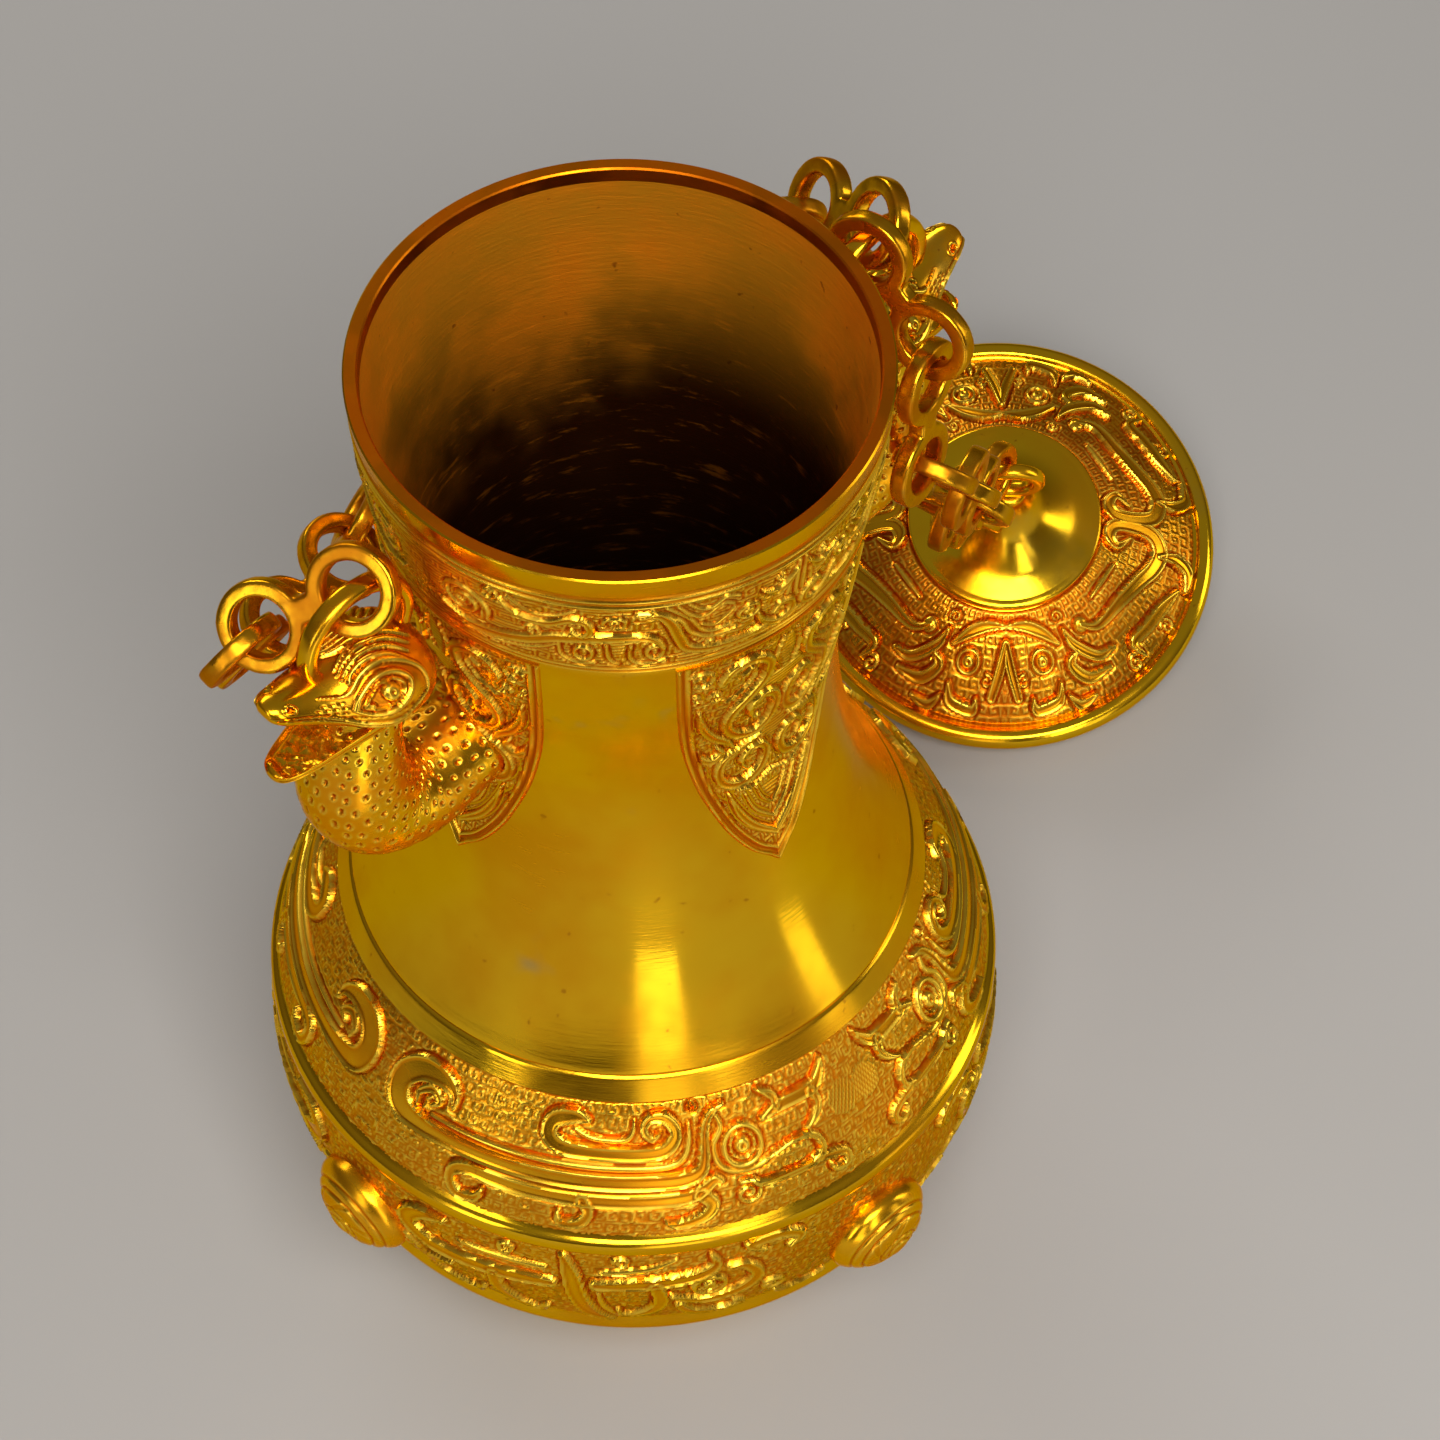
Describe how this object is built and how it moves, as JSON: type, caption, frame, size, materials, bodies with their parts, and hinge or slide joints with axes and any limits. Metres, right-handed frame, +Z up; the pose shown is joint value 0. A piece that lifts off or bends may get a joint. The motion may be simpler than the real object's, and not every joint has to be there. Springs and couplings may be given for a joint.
{
  "type": "chain bottle",
  "caption": "Gilt bronze bottle with a pear-shaped body, serpent-head lugs that hold a carrying chain round the neck, and a domed lid on its own chain beside it.",
  "frame": {"origin": "centre of the flat underside, in the plane that the bottle stands on", "axes": "+Z up through the mouth, +X and -X through the serpent-head lugs, the lid lies towards +X and +Y"},
  "size_m": [0.282, 0.1745, 0.25],
  "materials": {
    "gilt_vessel": "worn gilding over cast bronze, satin",
    "gilt_relief": "gilded relief with red-brown patina in the recesses",
    "gilt_chain": "gilded wrought links, polished where they rub",
    "plain_bronze": "bare bronze, dull"
  },
  "bodies": {
    "bottle": {"bottle_shell": "gilt_vessel", "base_plate": "plain_bronze", "whorl_boss_1": "gilt_relief", "whorl_boss_2": "gilt_relief", "whorl_boss_3": "gilt_relief", "whorl_boss_4": "gilt_relief", "serpent_head_right": "gilt_relief", "serpent_head_left": "gilt_relief"},
    "left_link_1": {"left_chain_link_1": "gilt_chain"},
    "left_link_2": {"left_chain_link_2": "gilt_chain"},
    "left_link_3": {"left_chain_link_3": "gilt_chain"},
    "left_link_4": {"left_chain_link_4": "gilt_chain"},
    "right_link_1": {"right_chain_link_1": "gilt_chain"},
    "right_link_2": {"right_chain_link_2": "gilt_chain"},
    "right_link_3": {"right_chain_link_3": "gilt_chain"},
    "right_link_4": {"right_chain_link_4": "gilt_chain"},
    "lid_link_1": {"lid_chain_link_1": "gilt_chain"},
    "lid_link_2": {"lid_chain_link_2": "gilt_chain"},
    "lid_link_3": {"lid_chain_link_3": "gilt_chain"},
    "lid_link_4": {"lid_chain_link_4": "gilt_chain"},
    "lid_link_5": {"lid_chain_link_5": "gilt_chain"},
    "lid_link_6": {"lid_chain_link_6": "gilt_chain"},
    "lid_link_7": {"lid_chain_link_7": "gilt_chain"},
    "lid_link_8": {"lid_chain_link_8": "gilt_chain"},
    "lid_body": {"lid": "gilt_vessel"}
  },
  "joints": [
    {"name": "left_1_swing", "type": "hinge", "parent": "bottle", "child": "left_link_1", "pos_m": [-0.05711, 0, 0.23809], "axis": [0.9613, 0, -0.2756], "range_deg": [0, 25]},
    {"name": "left_2_swing", "type": "hinge", "parent": "left_link_1", "child": "left_link_2", "pos_m": [-0.07034, 0.01192, 0.22696], "axis": [0.7666, 0.3467, -0.5405], "range_deg": [-12, 3]},
    {"name": "left_3_swing", "type": "hinge", "parent": "left_link_2", "child": "left_link_3", "pos_m": [-0.05956, 0.02462, 0.20329], "axis": [0.2447, -0.4028, 0.882], "range_deg": [0, 40]},
    {"name": "left_4_swing", "type": "hinge", "parent": "left_link_3", "child": "left_link_4", "pos_m": [-0.03908, 0.03127, 0.20065], "axis": [0.2447, -0.4028, 0.882], "range_deg": [0, 35]},
    {"name": "right_1_swing", "type": "hinge", "parent": "bottle", "child": "right_link_1", "pos_m": [0.06218, 0, 0.23827], "axis": [0.9781, 0, -0.2079], "range_deg": [0, 40]},
    {"name": "right_2_swing", "type": "hinge", "parent": "right_link_1", "child": "right_link_2", "pos_m": [0.06378, 0.0183, 0.22809], "axis": [0.8001, -0.3436, -0.4917], "range_deg": [0, 35]},
    {"name": "right_3_swing", "type": "hinge", "parent": "right_link_2", "child": "right_link_3", "pos_m": [0.04403, 0.04045, 0.21053], "axis": [0.5221, 0.0206, -0.8526], "range_deg": [0, 35]},
    {"name": "right_4_swing", "type": "hinge", "parent": "right_link_3", "child": "right_link_4", "pos_m": [0.02226, 0.05172, 0.19746], "axis": [0, 0.9997, 0.0242], "range_deg": [0, 35]},
    {"name": "lid_1_swing", "type": "hinge", "parent": "bottle", "child": "lid_link_1", "pos_m": [0.05658, 0, 0.23793], "axis": [-0.9455, 0, -0.3256], "range_deg": [0, 30]},
    {"name": "lid_2_swing", "type": "hinge", "parent": "lid_link_1", "child": "lid_link_2", "pos_m": [0.05857, -0.0162, 0.22471], "axis": [-0.9452, -0.268, 0.1863], "range_deg": [0, 30]},
    {"name": "lid_3_swing", "type": "hinge", "parent": "lid_link_2", "child": "lid_link_3", "pos_m": [0.05776, -0.01902, 0.19128], "axis": [-0.7718, -0.2749, -0.5734], "range_deg": [0, 30]},
    {"name": "lid_4_swing", "type": "hinge", "parent": "lid_link_3", "child": "lid_link_4", "pos_m": [0.07298, -0.01313, 0.16797], "axis": [0.396, -0.9133, -0.0952], "range_deg": [-5, 30]},
    {"name": "lid_5_swing", "type": "hinge", "parent": "lid_link_4", "child": "lid_link_5", "pos_m": [0.08656, -0.00479, 0.1444], "axis": [0.8317, 0.3128, 0.4588], "range_deg": [-20, 30]},
    {"name": "lid_6_swing", "type": "hinge", "parent": "lid_link_5", "child": "lid_link_6", "pos_m": [0.09367, 0.00986, 0.12153], "axis": [0.3935, -0.915, -0.0895], "range_deg": [-15, 30]},
    {"name": "lid_7_swing", "type": "hinge", "parent": "lid_link_6", "child": "lid_link_7", "pos_m": [0.10973, 0.01888, 0.09984], "axis": [0.7751, 0.2778, 0.5674], "range_deg": [-20, 30]},
    {"name": "lid_8_swing", "type": "hinge", "parent": "lid_link_7", "child": "lid_link_8", "pos_m": [0.11938, 0.03413, 0.07918], "axis": [0.2926, -0.9539, 0.0673], "range_deg": [-20, 30]},
    {"name": "lid_swing", "type": "hinge", "parent": "lid_link_8", "child": "lid_body", "pos_m": [0.14058, 0.04012, 0.0677], "axis": [0.5087, -0.7015, 0.4991], "range_deg": [-18, 30]}
  ]
}
